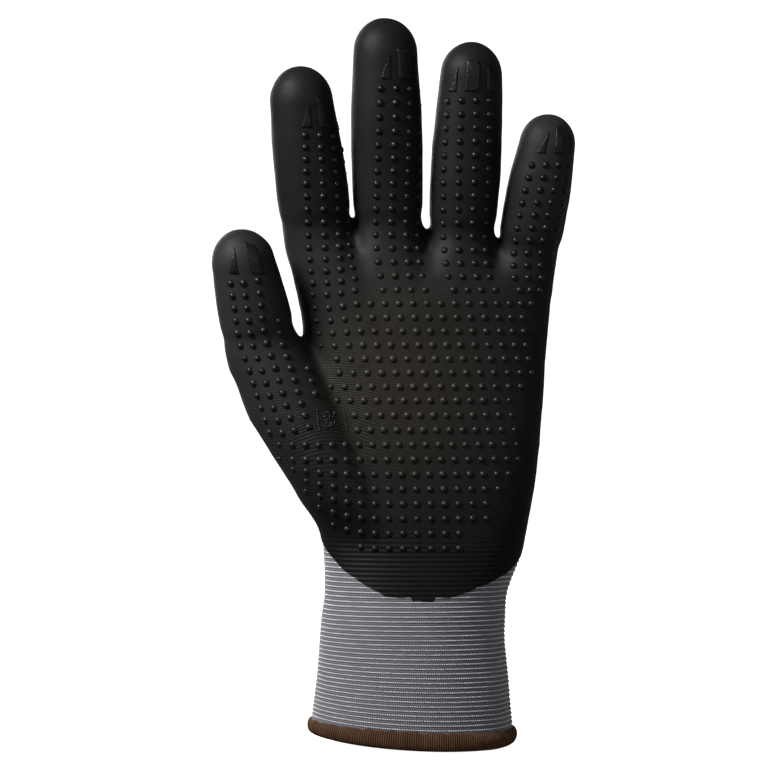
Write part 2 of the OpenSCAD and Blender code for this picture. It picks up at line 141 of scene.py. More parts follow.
def curve(x, xs, ys):
    """A smooth curve through the points xs, ys (cubic Hermite)."""
    xs, ys = np.asarray(xs, float), np.asarray(ys, float)
    slope = np.gradient(ys, xs)
    x = np.clip(np.asarray(x, float), xs[0], xs[-1])
    i = np.clip(np.searchsorted(xs, x, side="right") - 1, 0, len(xs) - 2)
    h = xs[i + 1] - xs[i]
    t = (x - xs[i]) / h
    a = (2 * t**3 - 3 * t**2 + 1) * ys[i] + (t**3 - 2 * t**2 + t) * h * slope[i]
    return a + (-2 * t**3 + 3 * t**2) * ys[i + 1] + (t**3 - t**2) * h * slope[i + 1]


# ---- the fingers' frames, from the CAD's own hinges ----


def part_names(name):
    return ["root", "end"] if name == "thumb" else ["root", "middle", "end"]


class Digit:
    """A finger's axes and stations: x across, y towards the back, z along its own middle line."""

    def __init__(self, name, spec):
        self.name = name
        mine = [joints[f"{name}_{part}_bend"] for part in part_names(name)]
        anchors = [np.array(j["pos_m"]) / MM for j in mine]
        across = unit(mine[0]["axis"])
        if across[0] < 0:
            across = -across
        self.z = unit(anchors[-1] - anchors[0])
        self.y = unit(np.cross(self.z, across))
        self.plane_z = np.cross(across, self.y)
        self.x = np.cross(self.y, self.z)
        front = np.array([0, -1.0, 0])
        self.front = unit(front - (front @ self.z) * self.z)
        self.right = np.cross(self.z, self.front)
        self.first = spec["first"]
        self.root = anchors[0] + HINGE_OFF * self.y - self.first * self.z
        self.hinges = [self.first + np.linalg.norm(a - anchors[0]) for a in anchors]
        self.length = spec["length"]
        self.radii = spec["radii"]
        self.dome_start = self.length - DOME * self.radii[3]
        self.bodies = ["hand"] + [j["child"] for j in mine]
        middles = [(a + b) / 2 for a, b in zip(self.hinges, self.hinges[1:])]
        last = 2 * self.hinges[-1] - middles[-1]
        self.bends = [self.first - START_DROP] + middles + [last]

    def radius(self, s):
        xs = [-20, 0, PAST_ROOT, self.hinges[-1], self.dome_start]
        ys = [self.radii[0]] + self.radii
        return curve(s, xs, ys)

    def plain(self, s):
        """Nought at the finger's root, 1 where it is a plain round."""
        return ramp(s, self.first + PLAIN_FROM, self.first + PLAIN_TO)

    def at(self, s):
        return self.root + self.z * s

    def local(self, p):
        d = np.asarray(p) - self.root
        return d @ self.x, d @ self.y, d @ self.z

    def axis_x(self, z):
        return self.root[0] + (z - self.root[2]) * self.z[0] / self.z[2]

    def aim(self, z, degrees):
        """A ray from the finger's axis, turned from the front towards +X, that meets the skin at height z."""
        a = math.radians(degrees)
        way = self.right * math.sin(a) + self.front * math.cos(a)
        s = (z - self.root[2]) / self.z[2]
        s = (z - self.root[2] - self.radius(s) * way[2]) / self.z[2]
        return self.at(s), way

    def height(self, p):
        """Height over the root along the finger's flexing plane, in which its bends are cut."""
        return (np.asarray(p) - self.root) @ self.plane_z

    def plane_height(self, s):
        return s * float(self.z @ self.plane_z)


digits = {name: Digit(name, SPEC[name]) for name in DIGITS}


# ---- closed solids that the skin is drawn from ----


def section(z):
    """Left edge, right edge and half depth of the hand at height z."""
    return [curve(z, SECTIONS[:, 0], SECTIONS[:, k]) for k in (1, 2, 3)]


def power(c, n):
    return np.sign(c) * np.abs(c) ** (2 / n)


def oval(z, cx, cy, hw, hd, n, sides=64):
    a = np.linspace(0, 2 * math.pi, sides, endpoint=False)
    x, y = cx + hw * power(np.cos(a), n), cy + hd * power(np.sin(a), n)
    return np.stack([x, y, np.full(sides, z, float)], axis=1)


def strips(rings, sides):
    """The faces between each ring of points and the next."""
    faces = []
    for r in range(rings - 1):
        for i in range(sides):
            j = (i + 1) % sides
            faces.append([r * sides + i, r * sides + j, (r + 1) * sides + j, (r + 1) * sides + i])
    return faces


def loft(rings):
    """A closed tube through the rings, capped flat at both ends."""
    n = len(rings[0])
    caps = [list(range(n))[::-1], [(len(rings) - 1) * n + i for i in range(n)]]
    return np.concatenate(rings), strips(len(rings), n) + caps


def join(parts):
    """Several (verts, faces, normals) as one."""
    faces, count = [], 0
    for verts, own, _ in parts:
        faces += [[i + count for i in face] for face in own]
        count += len(verts)
    return np.vstack([part[0] for part in parts]), faces, np.vstack([part[2] for part in parts])


def palm_solid():
    rings = []
    for z in np.arange(-6, 160.1, 2):
        left, right, depth = section(z)
        rings.append(oval(z, (left + right) / 2, 0, (right - left) / 2, depth, SQUARENESS))
    return loft(rings)


def finger_ring(d, s, radius, sides=48):
    a = np.linspace(0, 2 * math.pi, sides, endpoint=False)
    return d.at(s) + radius * (np.cos(a)[:, None] * d.x + np.sin(a)[:, None] * d.y)


def finger_solid(d):
    """A finger, past its root a little thinner than it will be, so that the gaps stay open."""
    rings = []
    for s in np.linspace(-2, d.dome_start, 28):
        rings.append(finger_ring(d, s, float(d.radius(s)) - THINNED * float(d.plain(s))))
    rise = d.length - d.dome_start
    for a in np.radians(np.arange(9, 90, 9)):
        radius = (d.radii[3] - THINNED) * math.cos(a)
        rings.append(finger_ring(d, d.dome_start + rise * math.sin(a), radius))
    return loft(rings)


def hull(points):
    bm = bmesh.new()
    for p in np.concatenate(points):
        bm.verts.new(p)
    made = bmesh.ops.convex_hull(bm, input=bm.verts)
    inside = {v for v in made["geom_interior"] + made["geom_unused"] if isinstance(v, bmesh.types.BMVert)}
    bmesh.ops.delete(bm, geom=list(inside), context="VERTS")
    bm.verts.index_update()
    verts = np.array([v.co for v in bm.verts])
    faces = [[v.index for v in f.verts] for f in bm.faces]
    bm.free()
    return verts, faces


def palm_slice(z, x, half):
    """Points on the palm's outline at height z, from x - half to x + half."""
    left, right, depth = (float(v) for v in section(z))
    xs = np.linspace(x - half, x + half, 25)
    dx = np.clip(np.abs(xs - (left + right) / 2) / ((right - left) / 2), 0, 1)
    ys = depth * (1 - dx**SQUARENESS) ** (1 / SQUARENESS)
    front = np.stack([xs, -ys, np.full(len(xs), z)], axis=1)
    return np.vstack([front, front * [1, -1, 1]])


def root_solids():
    """The hulls between the palm, the fingers' roots and the webs between them."""
    left, right, _ = (float(v) for v in section(PALM_TOP))
    solids = []
    for name in ROW:
        d = digits[name]
        x = min(max(d.root[0], left + ROOT_HALF), right - ROOT_HALF)
        ring = finger_ring(d, d.first + 1, d.radii[0])
        solids.append(hull([palm_slice(PALM_TOP, x, ROOT_HALF), ring]))
    for a, b in zip(ROW, ROW[1:]):
        d, e = digits[a], digits[b]
        solids.append(hull([
            palm_slice(PALM_TOP, (d.root[0] + e.root[0]) / 2, ROOT_HALF),
            finger_ring(d, d.first - WEB_DROP, d.radii[0]),
            finger_ring(e, e.first - WEB_DROP, e.radii[0]),
        ]))
    slices = [oval(z, cx, cy, hw, hd, 2) for z, cx, cy, hw, hd in MOUND]
    slices.append(finger_ring(digits["thumb"], digits["thumb"].first + 1, digits["thumb"].radii[0]))
    for a, b in zip(slices, slices[1:]):
        solids.append(hull([a, b]))
    return solids


def make_mesh(name, verts, faces):
    mesh = bpy.data.meshes.new(name)
    mesh.from_pydata((np.asarray(verts) * MM).tolist(), [], faces)
    mesh.update()
    for poly in mesh.polygons:
        poly.use_smooth = True
    return mesh


def put(name, data):
    """A new object in the scene."""
    obj = bpy.data.objects.new(name, data)
    bpy.context.scene.collection.objects.link(obj)
    return obj


def remeshed(solids):
    """One skin round all the solids, in even faces."""
    verts, faces, _ = join([(v, f, v) for v, f in solids])
    obj = put("skin_source", make_mesh("skin_source", verts, faces))
    mod = obj.modifiers.new("remesh", "REMESH")
    mod.mode = "VOXEL"
    mod.voxel_size = VOXEL * MM
    evaluated = obj.evaluated_get(bpy.context.evaluated_depsgraph_get())
    mesh = evaluated.to_mesh()
    points = np.zeros(len(mesh.vertices) * 3)
    mesh.vertices.foreach_get("co", points)
    quads = [list(p.vertices) for p in mesh.polygons]
    evaluated.to_mesh_clear()
    bpy.data.objects.remove(obj)
    return points.reshape(-1, 3) / MM, quads


def relax(points, quads, times):
    q = np.array([f for f in quads if len(f) == 4])
    edges = np.concatenate([q[:, [0, 1]], q[:, [1, 2]], q[:, [2, 3]], q[:, [3, 0]]])
    a = np.concatenate([edges[:, 0], edges[:, 1]])
    b = np.concatenate([edges[:, 1], edges[:, 0]])
    count = np.maximum(np.bincount(a, minlength=len(points)), 1)[:, None]
    for _ in range(times):
        mean = np.stack([np.bincount(a, points[b, k], len(points)) for k in range(3)], axis=1) / count
        points = points + 0.5 * (mean - points)
    return points


def normals_of(points, quads):
    q = np.array([f if len(f) == 4 else [f[0], f[1], f[2], f[2]] for f in quads])
    face = np.cross(points[q[:, 2]] - points[q[:, 0]], points[q[:, 3]] - points[q[:, 1]])
    total = np.zeros_like(points)
    for k in range(4):
        for c in range(3):
            total[:, c] += np.bincount(q[:, k], face[:, c], len(points))
    return unit(total + 1e-12)


def onto_hand(points):
    """Up to the wrist the skin is exactly the oval sections, so that the cuff meets it."""
    z = points[:, 2]
    left, right, depth = section(z)
    cx, hw = (left + right) / 2, (right - left) / 2
    dx, dy = (points[:, 0] - cx) / hw, points[:, 1] / depth
    reach = (np.abs(dx) ** SQUARENESS + np.abs(dy) ** SQUARENESS) ** (1 / SQUARENESS)
    weight = 1 - ramp(z, OVAL_TO, OVAL_END)
    scale = 1 + weight * (1 / np.maximum(reach, 0.2) - 1)
    moved = points.copy()
    moved[:, 0] = cx + (points[:, 0] - cx) * scale
    moved[:, 1] = points[:, 1] * scale
    return moved


def onto_fingers(points):
    """Past their roots the skin is exactly the fingers' own round shapes; each point follows the nearest."""
    gaps, moves = [], []
    for d in digits.values():
        x, y, s = d.local(points)
        rho = np.maximum(np.hypot(x, y), 0.5)
        rise = d.length - d.dome_start
        past = np.maximum(s - d.dome_start, 0)
        dome = 1 / np.maximum(np.sqrt((rho / d.radii[3]) ** 2 + (past / rise) ** 2), 0.2)
        side = np.where(s > d.dome_start, dome, d.radius(s) / rho)
        up = np.where(s > d.dome_start, past * (dome - 1), 0)
        shift = (x * (side - 1))[:, None] * d.x + (y * (side - 1))[:, None] * d.y + up[:, None] * d.z
        gap = np.where(s > 0, np.linalg.norm(shift, axis=1), 1e6)
        gaps.append(gap)
        inside = (gap < THINNED + NEAR) & (side > SHRUNK)
        moves.append(shift * np.where(inside, d.plain(s), 0)[:, None])
    nearest = np.argmin(np.array(gaps), axis=0)
    return points + np.array(moves)[nearest, np.arange(len(points))]


def crumple(points, size, seed):
    """Soft noise from -1 to 1 over lumps of that size."""
    shift = Vector((seed * 17.3, seed * 5.1, seed * 9.7))
    return np.array([noise.noise(Vector(p) / size + shift) for p in points])


def make_skin():
    solids = [palm_solid()] + [finger_solid(d) for d in digits.values()] + root_solids()
    points, quads = remeshed(solids)
    points = relax(points, quads, RELAXED)
    points = onto_hand(points)
    points = onto_fingers(points)
    points = relax(points, quads, EASED)
    normals = normals_of(points, quads)
    lumps = 0.22 * crumple(points, 14, 1) + 0.1 * crumple(points, 5, 2)
    points = points + normals * (lumps * ramp(points[:, 2], 60, 90))[:, None]
    return np.hstack([points, normals_of(points, quads)]), quads


# ---- cutting the skin into pieces ----


def split(skin, value):
    """Cuts each face where value changes sign. Returns what lies above nought, and the rest."""
    rows, faces = skin
    value = np.where(np.abs(value) < 1e-3, 1e-3, value)
    above = value > 0
    added, extra, high, low = {}, [], [], []
    for face in faces:
        sides = [above[i] for i in face]
        if all(sides):
            high.append(face)
        elif not any(sides):
            low.append(face)
        else:
            over, under = [], []
            for i, j in zip(face, face[1:] + face[:1]):
                (over if above[i] else under).append(i)
                if above[i] != above[j]:
                    key = (min(i, j), max(i, j))
                    if key not in added:
                        a, b = key
                        t = value[a] / (value[a] - value[b])
                        added[key] = len(rows) + len(extra)
                        extra.append(rows[a] + t * (rows[b] - rows[a]))
                    over.append(added[key])
                    under.append(added[key])
            high.append(over)
            low.append(under)
    every = np.vstack([rows] + extra) if extra else rows
    return compact(every, high), compact(every, low)


def compact(rows, faces):
    used = sorted({i for f in faces for i in f})
    place = {old: new for new, old in enumerate(used)}
    return rows[used], [[place[i] for i in f] for f in faces]


def shell(skin, outer, inner):
    """A closed piece between two offsets of the skin: rows, faces and normals."""
    rows, faces = skin
    n = len(rows)
    p, normal = rows[:, :3], unit(rows[:, 3:6])
    outer = np.broadcast_to(outer, n)
    inner = np.broadcast_to(inner, n)
    verts = np.vstack([p + normal * outer[:, None], p + normal * inner[:, None]])
    seen = {}
    for f in faces:
        for i, j in zip(f, f[1:] + f[:1]):
            seen[(i, j)] = seen.get((i, j), 0) + 1
    rim = [[j, i, i + n, j + n] for i, j in seen if (j, i) not in seen]
    back = [[i + n for i in reversed(f)] for f in faces]
    return verts, faces + back + rim, np.vstack([normal, -normal])


SLIVER = 60              # an island of fewer points isn't cut off
THUMB_OFF, THUMB_WIDE = 1.5, 3.5   # the thumb's skin reaches this much farther out than its root


def islands(faces, label):
    """For each point, how many points of the same label hang together with it, and their group."""
    parent = list(range(len(label)))

    def top(i):
        while parent[i] != i:
            parent[i] = parent[parent[i]]
            i = parent[i]
        return i

    for face in faces:
        for i, j in zip(face, face[1:] + face[:1]):
            if label[i] == label[j]:
                parent[top(i)] = top(j)
    group = np.array([top(i) for i in range(len(label))])
    return np.bincount(group, minlength=len(label))[group], group


def steady(value, faces):
    """The same field, with its sign turned wherever it would cut off a sliver."""
    mine, _ = islands(faces, value > 0)
    whole, _ = islands(faces, value > -np.inf)
    return np.where((mine < SLIVER) & (whole >= SLIVER), -0.01 * np.sign(value), value)


def biggest_island(skin):
    rows, faces = skin
    size, group = islands(faces, rows[:, 0] > -np.inf)
    kept = group[int(np.argmax(size))]
    return compact(rows, [f for f in faces if group[f[0]] == kept])


def gap(d, p):
    """Distance from a finger's own surface."""
    x, y, s = d.local(p)
    return np.hypot(x, y) - d.radius(s)


def digit_field(d, p):
    """Above nought where the skin belongs to the finger and not to the hand or to another finger."""
    field = d.height(p) - d.plane_height(d.bends[0])
    if d.name == "thumb":
        x, _, _ = d.local(p)
        field = np.minimum(field, d.radii[0] + THUMB_WIDE - np.abs(x + THUMB_OFF))
    own = gap(d, p)
    for other in digits.values():
        if other is not d:
            field = np.minimum(field, (gap(other, p) - own) / 2)
    return field


CUFF_EDGE = 50.6         # height of the coating's lower edge at its lowest
EDGE_MIDDLE = 3.0        # and where across the wrist that is
EDGE_FLAT = 6            # it stays level this far to both sides
EDGE_RISE = 40           # and rises by this at most
EDGE_TOP = 110           # above this height there is no lower edge
LEFT_STEEP, RIGHT_STEEP = 0.0225, 0.014
STEP, STEP_W = 1.6, 8    # a small step down right of the middle
COURSE_STEP = 0.9        # height of the steps from one knit course to the next

# The side edge of the coating leaves the middle of the hand's depth for the middle of the thumb's mound
MOUND_Z = (95, 132)      # over these heights
MOUND_X = (26, 44)       # and these distances from the middle
THUMB_Z = (130, 142)     # but above these heights
THUMB_R = (14, 18)       # not where it is this far from the thumb's own axis
MOUND_Y, MOUND_SLOPE = 5.5, 0.12
MOUND_TOP = 137          # the mound's middle lies MOUND_Y before the thumb's root at this height
LEAN_FROM, LEAN = 172, 0.22    # the webs' middle comes forward by this much for each mm above that height
OWN_FROM, OWN_TO = 8, 16       # a finger's own middle counts between these stations and after


def course_steps(x):
    """The coating's edge follows the knit's courses in small steps."""
    return COURSE_STEP * np.round(1.2 * np.sin(x * 0.33 + 0.6) + 0.5 * np.sin(x * 0.9))


def edge_height(x):
    """Height of the coating's lower edge across the wrist."""
    across = x - EDGE_MIDDLE
    drop = STEP * ((x > 0) & (x < STEP_W))
    past = np.maximum(np.abs(across) - EDGE_FLAT, 0)
    steep = np.where(across < 0, LEFT_STEEP, RIGHT_STEEP)
    return CUFF_EDGE + STEP + np.minimum(steep * past**2, EDGE_RISE) - drop + 0.35 * course_steps(x)


def coat_field(p):
    """Roughly the distance inside the coating's edge, below nought where the knit is bare."""
    thumb = digits["thumb"]
    x, y, _ = thumb.local(p)
    near = 1 - ramp(p[:, 2], *THUMB_Z) * ramp(np.hypot(x, y), *THUMB_R)
    share = ramp(p[:, 2], *MOUND_Z) * ramp(-p[:, 0], *MOUND_X) * near
    mound_y = thumb.root[1] - MOUND_Y + (MOUND_TOP - p[:, 2]) * MOUND_SLOPE
    middle = -np.maximum(p[:, 2] - LEAN_FROM, 0) * LEAN * (1 - share) + mound_y * share
    wrap = WRAP + 0.7 * crumple(p, 6, 3) + 0.5 * crumple(p, 2.5, 4)
    field = wrap + middle - p[:, 1]
    for d in digits.values():
        x, y, s = d.local(p)
        mine = (np.hypot(x, y) < d.radii[0] + 4) & (s > OWN_FROM)
        tip = s - (d.length - d.radii[3] - DIPPED_TIP) + 1.2 * crumple(p, 4, 5)
        own = wrap - (p[:, 1] - d.at(s[:, None])[:, 1])
        part = ramp(s, OWN_FROM, OWN_TO)
        grown = np.maximum(field * (1 - part) + own * part, tip)
        field = np.where(mine, grown, field)
    front = p[:, 2] - edge_height(p[:, 0])
    return np.where(p[:, 2] < EDGE_TOP, np.minimum(field, front * 0.8), field)


# ---- making pieces ----


def add_piece(name, verts, faces, normals, material, knit=None):
    """A piece that stores its points' places at rest, and its stitch coordinates, for its material."""
    mesh = make_mesh(name, verts, faces)
    if normals is not None:
        mesh.normals_split_custom_set_from_vertices([tuple(n) for n in normals])
    place = mesh.attributes.new("rest", "FLOAT_VECTOR", "POINT")
    place.data.foreach_set("vector", (np.asarray(verts, float) * MM).astype(np.float32).ravel())
    if knit is not None:
        loops = mesh.attributes.new("knit", "FLOAT_VECTOR", "POINT")
        loops.data.foreach_set("vector", np.asarray(knit, np.float32).ravel())
    mesh.materials.append(material)
    return put(name, mesh)


def attach(obj, digit, part):
    """Rides on the hand; a finger's piece (part 0 at its root, 1 and 2 farther on) only has its place baked
    into its points and rides on no body.
    """
    if digit is None:
        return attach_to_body(obj, "hand")
    d = digits[digit]
    a, b = (d.root + d.plane_z * d.plane_height(s) for s in d.bends[part:part + 2])
    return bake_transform(obj)


def segment_name(name, part):
    """The CAD's name for the part of a finger that a piece mostly covers."""
    return (["base", "tip"] if name == "thumb" else ["base", "mid", "tip"])[part]


# ---- materials ----


class Nodes:
    """A material's node tree, built a node at a time."""

    def __init__(self, name):
        self.material = bpy.data.materials.new(name)
        self.material.use_nodes = True
        self.tree = self.material.node_tree
        self.shader = self.tree.nodes["Principled BSDF"]

    def add(self, kind, **settings):
        node = self.tree.nodes.new(kind)
        for key, value in settings.items():
            if key in node.inputs.keys():
                node.inputs[key].default_value = value
            else:
                setattr(node, key, value)
        return node

    def link(self, a, b):
        self.tree.links.new(a, b)

    def attribute(self, name):
        return self.add("ShaderNodeAttribute", attribute_name=name).outputs["Vector"]

    def math(self, operation, a, b=None):
        node = self.add("ShaderNodeMath", operation=operation)
        for socket, value in zip(node.inputs, (a, b)):
            if value is None:
                continue
            if hasattr(value, "is_output"):
                self.link(value, socket)
            else:
                socket.default_value = value
        return node.outputs[0]

    def plus(self, a, b):
        return self.math("ADD", a, b)

    def minus(self, a, b):
        return self.math("SUBTRACT", a, b)

    def times(self, a, b):
        return self.math("MULTIPLY", a, b)

    def off_middle(self, turns):
        """How far a stitch coordinate is from the middle of its stitch, from 0 to 0.5."""
        return self.math("ABSOLUTE", self.minus(self.math("FRACT", turns), 0.5))

    def far(self, x, z, middle, spread):
        """Squared distance from a middle in the front view, both ways in units of a spread."""
        across = self.times(self.minus(x, middle[0]), 1 / spread[0])
        up = self.times(self.minus(z, middle[1]), 1 / spread[1])
        return self.plus(self.times(across, across), self.times(up, up))

    def fade(self, far, rate):
        """A soft spot: 1 at its middle, less with the squared distance."""
        return self.math("POWER", math.e, self.times(far, -rate))

    def noise(self, vector, scale, detail=2.0, rough=0.5):
        node = self.add("ShaderNodeTexNoise", Scale=scale, Detail=detail, Roughness=rough)
        self.link(vector, node.inputs["Vector"])
        return node.outputs["Fac"]

    def split(self, vector):
        node = self.add("ShaderNodeSeparateXYZ")
        self.link(vector, node.inputs[0])
        return node.outputs

    def ramp(self, value, stops):
        node = self.add("ShaderNodeValToRGB")
        ends = node.color_ramp.elements
        while len(ends) < len(stops):
            ends.new(0.5)
        for element, (place, colour) in zip(ends, stops):
            element.position = place
            element.color = (*colour, 1)
        self.link(value, node.inputs["Fac"])
        return node.outputs["Color"]

    def mix(self, share, a, b, blend="MIX"):
        node = self.add("ShaderNodeMix", data_type="RGBA", blend_type=blend)
        for socket, value in zip((node.inputs[0], node.inputs[6], node.inputs[7]), (share, a, b)):
            if hasattr(value, "is_output"):
                self.link(value, socket)
            elif isinstance(value, (int, float)):
                socket.default_value = value
            else:
                socket.default_value = (*value, 1)
        return node.outputs[2]

    def remap(self, value, **settings):
        node = self.add("ShaderNodeMapRange", **settings)
        self.link(value, node.inputs["Value"])
        return node.outputs["Result"]

    def between(self, value, start, end):
        limits = {"From Min": start, "From Max": end}
        return self.remap(value, clamp=True, interpolation_type="SMOOTHSTEP", **limits)

    def scaled(self, value, low, high):
        return self.remap(value, **{"To Min": low, "To Max": high})

    def palm_tint_and_painted_sheen(self, rest, most):
        """A soft spot over the middle of the palm: a warm tint of the coating, with painted sheen that makes
        it paler.
        """
        x, _, z = self.split(rest)
        return self.times(self.fade(self.far(x, z, (-0.004, 0.126), (0.032, 0.036)), 1.0), most)

    def bump(self, height, distance, strength=1.0, under=None):
        node = self.add("ShaderNodeBump", Strength=strength, Distance=distance)
        self.link(height, node.inputs["Height"])
        if under is not None:
            self.link(under, node.inputs["Normal"])
        return node.outputs["Normal"]

    def finish(self, colour, rough, normal, **plain):
        for socket, value in (("Base Color", colour), ("Roughness", rough), ("Normal", normal)):
            if hasattr(value, "is_output"):
                self.link(value, self.shader.inputs[socket])
            else:
                self.shader.inputs[socket].default_value = value
        for key, value in plain.items():
            self.shader.inputs[key].default_value = value
        return self.material


MARK = (-27.2, 111.6)    # middle of the small stitched square at the thumb's root, x and z
MARK_HALF = 4.5          # half its width
WRINKLE = 1.05           # distance between the wrinkle arcs above it
SHEEN = {"Sheen Weight": 0.2, "Sheen Roughness": 0.5}


def coating_material():
    """Black foam with fine pores, wrinkle arcs at the thumb's root and the knit's courses at the wrist."""
    n = Nodes("micro_foam")
    rest = n.attribute("rest")
    x, y, z = n.split(rest)
    grain = n.noise(rest, 2400, 3, 0.6)
    pores = n.noise(rest, 900, 2, 0.5)
    cloud = n.noise(rest, 60, 3, 0.5)
    far = n.far(x, z, (MARK[0] * MM, (MARK[1] - 2) * MM), (0.011, 0.012))
    lifted = n.minus(z, n.times(n.fade(far, 0.5), 0.0065))
    arcs = n.math("SINE", n.times(lifted, PI2 / (WRINKLE * MM)))
    front = n.math("LESS_THAN", y, -0.004)
    arcs = n.times(n.times(arcs, n.fade(far, 0.35)), front)
    courses = n.math("SINE", n.times(z, PI2 / (COURSE * MM)))
    courses = n.times(courses, n.between(z, 0.078, 0.066))
    fine = n.bump(n.plus(grain, n.times(pores, 0.8)), 0.00012, 0.55)
    lines = n.bump(n.plus(arcs, courses), 0.00009, 0.7, fine)
    tone = n.ramp(cloud, [(0.3, (0.0042, 0.0042, 0.0044)), (0.7, (0.006, 0.006, 0.0062))])
    # Painted light: the hand's left side and the thumb are lighter, where the lamp from the upper left falls
    # on them.
    thumb_side_painted_light = n.times(n.between(x, -0.015, -0.056), n.between(z, 0.185, 0.165))
    tone = n.mix(thumb_side_painted_light, tone, (0.0135, 0.0134, 0.013))
    # Painted light: the little finger's side is lighter.
    little_side_painted_light = n.times(n.between(x, 0.032, 0.05), n.between(z, 0.15, 0.19))
    tone = n.mix(little_side_painted_light, tone, (0.0135, 0.0135, 0.0133))
    # Painted shade: the coating is darker low on the palm and at the wrist.
    tone = n.mix(n.between(z, 0.11, 0.07), tone, (0.0025, 0.002, 0.002))
    # A warm tint over the palm's middle, with painted sheen that makes it paler.
    colour = n.mix(n.palm_tint_and_painted_sheen(rest, 0.6), tone, (0.0165, 0.0135, 0.009))
    rough = n.scaled(n.noise(rest, 300, 2), 0.5, 0.62)
    return n.finish(colour, rough, lines, **{"Specular IOR Level": 0.09})


def dot_material():
    n = Nodes("dot_rubber")
    rest = n.attribute("rest")
    fine = n.bump(n.noise(rest, 1500, 2), 0.00006, 0.4)
    tone = n.ramp(n.noise(rest, 90, 2), [(0.3, (0.003, 0.003, 0.0032)), (0.7, (0.005, 0.005, 0.0052))])
    # Painted highlight: the dots are lighter over the palm's middle, warm like the coating's tint there.
    tone = n.mix(n.palm_tint_and_painted_sheen(rest, 0.8), tone, (0.024, 0.022, 0.017))
    rough = n.scaled(n.noise(rest, 500, 2), 0.32, 0.46)
    return n.finish(tone, rough, fine, **{"Specular IOR Level": 0.18})


def patch_material():
    n = Nodes("grip_rubber")
    grains = n.noise(n.attribute("rest"), 1900, 2, 0.6)
    fine = n.bump(grains, 0.00018, 0.8)
    tone = n.ramp(grains, [(0.35, (0.002, 0.002, 0.0022)), (0.65, (0.006, 0.006, 0.0062))])
    return n.finish(tone, 0.4, fine, **{"Specular IOR Level": 0.16})


def knit_material():
    """Plain knit in grey: a V for each stitch, from the piece's own stitch coordinates."""
    n = Nodes("grey_knit")
    rest = n.attribute("rest")
    u, v, _ = n.split(n.attribute("knit"))
    side = n.off_middle(u)
    loop = n.off_middle(n.plus(v, n.times(side, -1.3)))
    leg = n.math("ABSOLUTE", n.minus(side, 0.25))
    height = n.minus(1.0, n.plus(n.times(loop, 1.2), n.times(leg, 2.4)))
    fibre = n.noise(rest, 2600, 3, 0.7)
    bump = n.bump(n.plus(height, n.times(fibre, 0.35)), 0.0003, 0.9)
    # Painted shade: the stitches are darker where their relief is low, between the loops.
    tone = n.ramp(height, [(0.15, (0.052, 0.049, 0.06)), (0.75, (0.185, 0.178, 0.2))])
    heather = n.ramp(n.noise(rest, 350, 3, 0.6), [(0.35, (0.8, 0.8, 0.8)), (0.65, (1.2, 1.2, 1.2))])
    colour = n.mix(1.0, tone, heather, "MULTIPLY")
    return n.finish(colour, 0.85, bump, **{"Sheen Weight": 0.25, "Sheen Roughness": 0.5})


def rib_material():
    """The cuff's ground knit, darker than the yarns laid into it."""
    n = Nodes("cuff_ground")
    u, v, _ = n.split(n.attribute("knit"))
    side = n.off_middle(n.plus(u, n.times(v, 0.5)))
    band = n.off_middle(n.times(v, 2.0))
    fibre = n.noise(n.attribute("rest"), 2600, 3, 0.7)
    height = n.plus(n.plus(side, band), n.times(fibre, 0.5))
    # Painted shade: the ground knit is darker where its relief is low.
    tone = n.ramp(height, [(0.3, (0.02, 0.0185, 0.0235)), (0.95, (0.1, 0.094, 0.112))])
    return n.finish(tone, 0.85, n.bump(height, 0.00025, 0.8), **SHEEN)


def yarn_material():
    """Light grey fibres, with painted shade where a yarn dives under a stitch."""
    n = Nodes("light_yarn")
    rest = n.attribute("rest")
    fibre = n.noise(rest, 3000, 3, 0.7)
    u, _, _ = n.split(n.attribute("knit"))
    tone = n.ramp(n.noise(rest, 700, 2), [(0.3, (0.38, 0.375, 0.4)), (0.7, (0.62, 0.61, 0.64))])
    # Painted shade where the yarn dives under a stitch.
    tone = n.mix(n.between(n.off_middle(u), 0.28, 0.12), tone, (0.12, 0.115, 0.13))
    return n.finish(tone, 0.75, n.bump(fibre, 0.0001, 0.6), **SHEEN)


def hem_material():
    """Brown thread, with painted shade that makes it almost black between its turns."""
    n = Nodes("brown_thread")
    rest = n.attribute("rest")
    u, _, _ = n.split(n.attribute("knit"))
    fibre = n.noise(rest, 3000, 3, 0.7)
    thread = n.off_middle(u)
    # Painted shade: the thread is almost black in the grooves between its turns.
    tone = n.ramp(thread, [(0.08, (0.006, 0.0036, 0.0026)), (0.42, (0.085, 0.04, 0.019))])
    patchy = n.ramp(n.noise(rest, 220, 3, 0.6), [(0.3, (0.72, 0.72, 0.72)), (0.7, (1.25, 1.25, 1.25))])
    bump = n.bump(n.plus(fibre, thread), 0.00018, 0.8)
    return n.finish(n.mix(1.0, tone, patchy, "MULTIPLY"), 0.8, bump, **{"Specular IOR Level": 0.1})


COATING = coating_material()
DOTS = dot_material()
GRIPS = patch_material()
KNIT = knit_material()
RIB = rib_material()
YARN = yarn_material()
HEM = hem_material()


# ---- liner and coating, cut from the skin ----


HAND_WALES = 0.8         # stitches round the hand, as a share of those round the cuff
FINGER_WALES = 90        # stitches round a finger
KNIT_COURSE = 0.85       # height of a stitch
LAP = 0.5                # the liner starts this far below the top of the cuff's knit
EDGE_FADE = 1.5          # the coating thins out over this distance from its edge
EDGE_THIN = 0.36         # by this much
OVERLAP = 0.02           # it dips into the liner by this much


